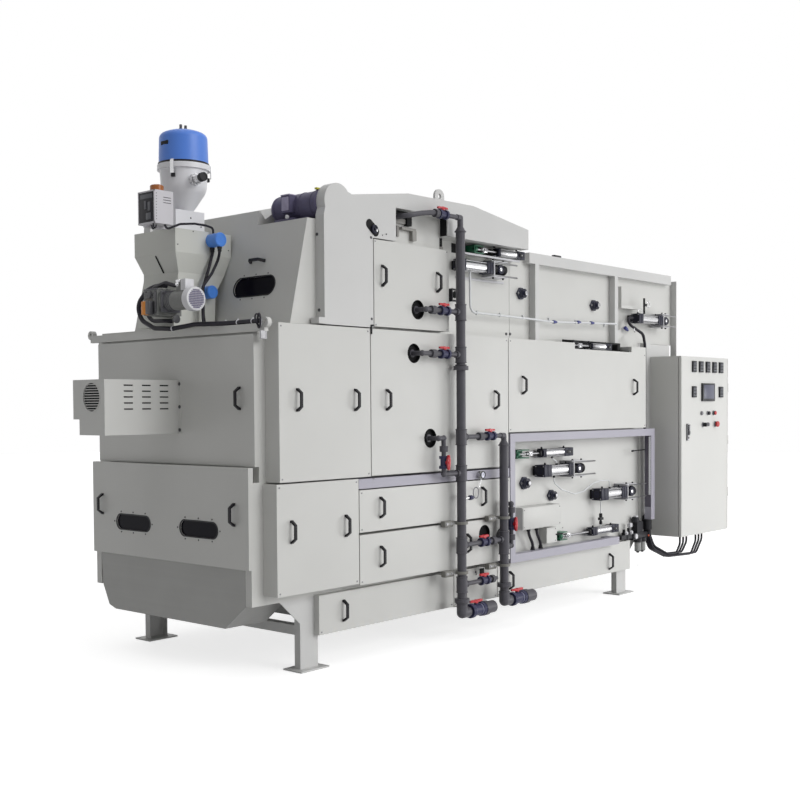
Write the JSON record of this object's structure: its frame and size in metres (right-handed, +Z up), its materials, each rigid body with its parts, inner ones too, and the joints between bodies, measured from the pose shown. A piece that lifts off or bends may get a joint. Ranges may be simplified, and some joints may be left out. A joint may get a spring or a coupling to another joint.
{
  "type": "belt filter press",
  "caption": "Long closed belt press housing on four legs with a stepped top section, side water pipes with ball valves, air cylinders, a powder feeder and a control cabinet on a stand",
  "frame": {"origin": "on the floor under the middle of the foot plate of the leg at the front left, seen from the side with the water pipes", "axes": "X runs to the right along the long side, Y into the machine from the side with the water pipes, Z up"},
  "size_m": [6.12, 2.046, 3.389],
  "materials": {
    "housing_paint": "satin light grey paint on sheet steel",
    "frame_paint": "satin light grey paint on steel section",
    "channel_paint": "satin grey paint with a lilac tone on steel channel",
    "stainless": "plain stainless sheet",
    "loader_grey": "satin light grey paint on spun sheet",
    "feeder_paint": "satin grey paint",
    "lid_blue": "satin blue paint",
    "sensor_blue": "blue moulded housing",
    "control_box_grey": "satin grey paint",
    "motor_grey": "satin dark grey paint",
    "motor_dark": "satin near-black paint",
    "cylinder_metal": "plain extruded barrel with dark ends",
    "bearing_iron": "painted casting",
    "service_dark": "black moulded body",
    "pipe_grey": "dark grey plastic pipe",
    "valve_grey": "dark grey plastic body",
    "gauge_steel": "bright case",
    "lever_red": "red moulded lever",
    "handle_black": "near-black moulded grip",
    "window_dark": "dark clear pane",
    "cabinet_paint": "satin off-white paint",
    "instrument_dark": "dark instrument cases",
    "hose_black": "black ribbed sleeve and hose",
    "tube_white": "white plastic air tube"
  },
  "bodies": {
    "machine": {"actuator_guards": "housing_paint", "air_service_unit": "service_dark", "air_tubes": "tube_white", "back_handles": "handle_black", "branch_pipes": "pipe_grey", "cabinet_body": "cabinet_paint", "cabinet_leads": "hose_black", "cabinet_stand": "frame_paint", "channel_rails": "channel_paint", "channel_uprights": "channel_paint", "cross_beams": "frame_paint", "drip_pan": "stainless", "drive_motor": "motor_dark", "end_handles": "handle_black", "feeder_control_box": "control_box_grey", "feeder_hopper": "feeder_paint", "feeder_motor": "motor_grey", "feeder_stand": "feeder_paint", "flange_bearings": "bearing_iron", "front_handles": "handle_black", "hoses_and_conduits": "hose_black", "housing": "housing_paint", "inlet_hood": "housing_paint", "inspection_windows": "window_dark", "junction_boxes": "housing_paint", "legs": "frame_paint", "level_sensors": "sensor_blue", "lifting_beam": "housing_paint", "loader_body": "loader_grey", "loader_lid": "lid_blue", "louvred_motor_box": "housing_paint", "lower_actuators": "cylinder_metal", "lower_covers": "housing_paint", "lower_end_cover": "housing_paint", "main_water_pipe": "pipe_grey", "outlet_tray": "stainless", "pipe_clips": "stainless", "pressure_gauge": "gauge_steel", "second_water_pipe": "pipe_grey", "skirts": "housing_paint", "tower_housing": "housing_paint", "tower_sides": "frame_paint", "upper_actuators": "cylinder_metal", "upper_covers": "housing_paint", "upper_end_cover": "housing_paint", "upper_frame": "frame_paint", "upper_section": "housing_paint", "valve_bodies": "valve_grey"},
    "door": {"cabinet_door": "cabinet_paint", "door_instruments": "instrument_dark"},
    "turning_top_valve_lever": {"top_valve_lever": "lever_red"},
    "turning_upper_valve_lever": {"upper_valve_lever": "lever_red"},
    "turning_middle_valve_lever": {"middle_valve_lever": "lever_red"},
    "turning_riser_valve_lever": {"riser_valve_lever": "lever_red"},
    "turning_cross_valve_lever": {"cross_valve_lever": "lever_red"},
    "turning_tray_valve_lever": {"tray_valve_lever": "lever_red"},
    "turning_drain_valve_lever": {"drain_valve_lever": "lever_red"},
    "turning_side_valve_lever": {"side_valve_lever": "lever_red"},
    "turning_main_inlet_lever": {"main_inlet_lever": "lever_red"},
    "turning_second_inlet_lever": {"second_inlet_lever": "lever_red"}
  },
  "joints": [
    {"name": "cabinet_door_hinge", "type": "hinge", "parent": "machine", "child": "door", "pos_m": [5.142, -0.314, 1.26], "axis": [0, 0, 1], "range_deg": [0, 110]},
    {"name": "top_valve_turn", "type": "hinge", "parent": "machine", "child": "turning_top_valve_lever", "pos_m": [1.085, -0.215, 2.88], "axis": [0, 0, 1], "range_deg": [0, 90]},
    {"name": "upper_valve_turn", "type": "hinge", "parent": "machine", "child": "turning_upper_valve_lever", "pos_m": [1.096, -0.215, 2.242], "axis": [0, 0, 1], "range_deg": [0, 90]},
    {"name": "middle_valve_turn", "type": "hinge", "parent": "machine", "child": "turning_middle_valve_lever", "pos_m": [1.096, -0.215, 1.954], "axis": [0, 0, 1], "range_deg": [0, 90]},
    {"name": "riser_valve_turn", "type": "hinge", "parent": "machine", "child": "turning_riser_valve_lever", "pos_m": [1.085, -0.215, 1.23], "axis": [0, 1, 0], "range_deg": [0, 90]},
    {"name": "cross_valve_turn", "type": "hinge", "parent": "machine", "child": "turning_cross_valve_lever", "pos_m": [1.602, -0.215, 1.395], "axis": [0, 0, 1], "range_deg": [0, 90]},
    {"name": "tray_valve_turn", "type": "hinge", "parent": "machine", "child": "turning_tray_valve_lever", "pos_m": [1.527, -0.215, 0.654], "axis": [0, 0, 1], "range_deg": [0, 90]},
    {"name": "drain_valve_turn", "type": "hinge", "parent": "machine", "child": "turning_drain_valve_lever", "pos_m": [1.527, -0.215, 0.385], "axis": [0, 0, 1], "range_deg": [0, 90]},
    {"name": "side_valve_turn", "type": "hinge", "parent": "machine", "child": "turning_side_valve_lever", "pos_m": [1.853, -0.215, 0.757], "axis": [0, 1, 0], "range_deg": [0, 90]},
    {"name": "main_inlet_turn", "type": "hinge", "parent": "machine", "child": "turning_main_inlet_lever", "pos_m": [1.431, -0.215, 0.19], "axis": [0, 0, 1], "range_deg": [0, 90]},
    {"name": "second_inlet_turn", "type": "hinge", "parent": "machine", "child": "turning_second_inlet_lever", "pos_m": [1.921, -0.215, 0.21], "axis": [0, 0, 1], "range_deg": [0, 90]}
  ]
}
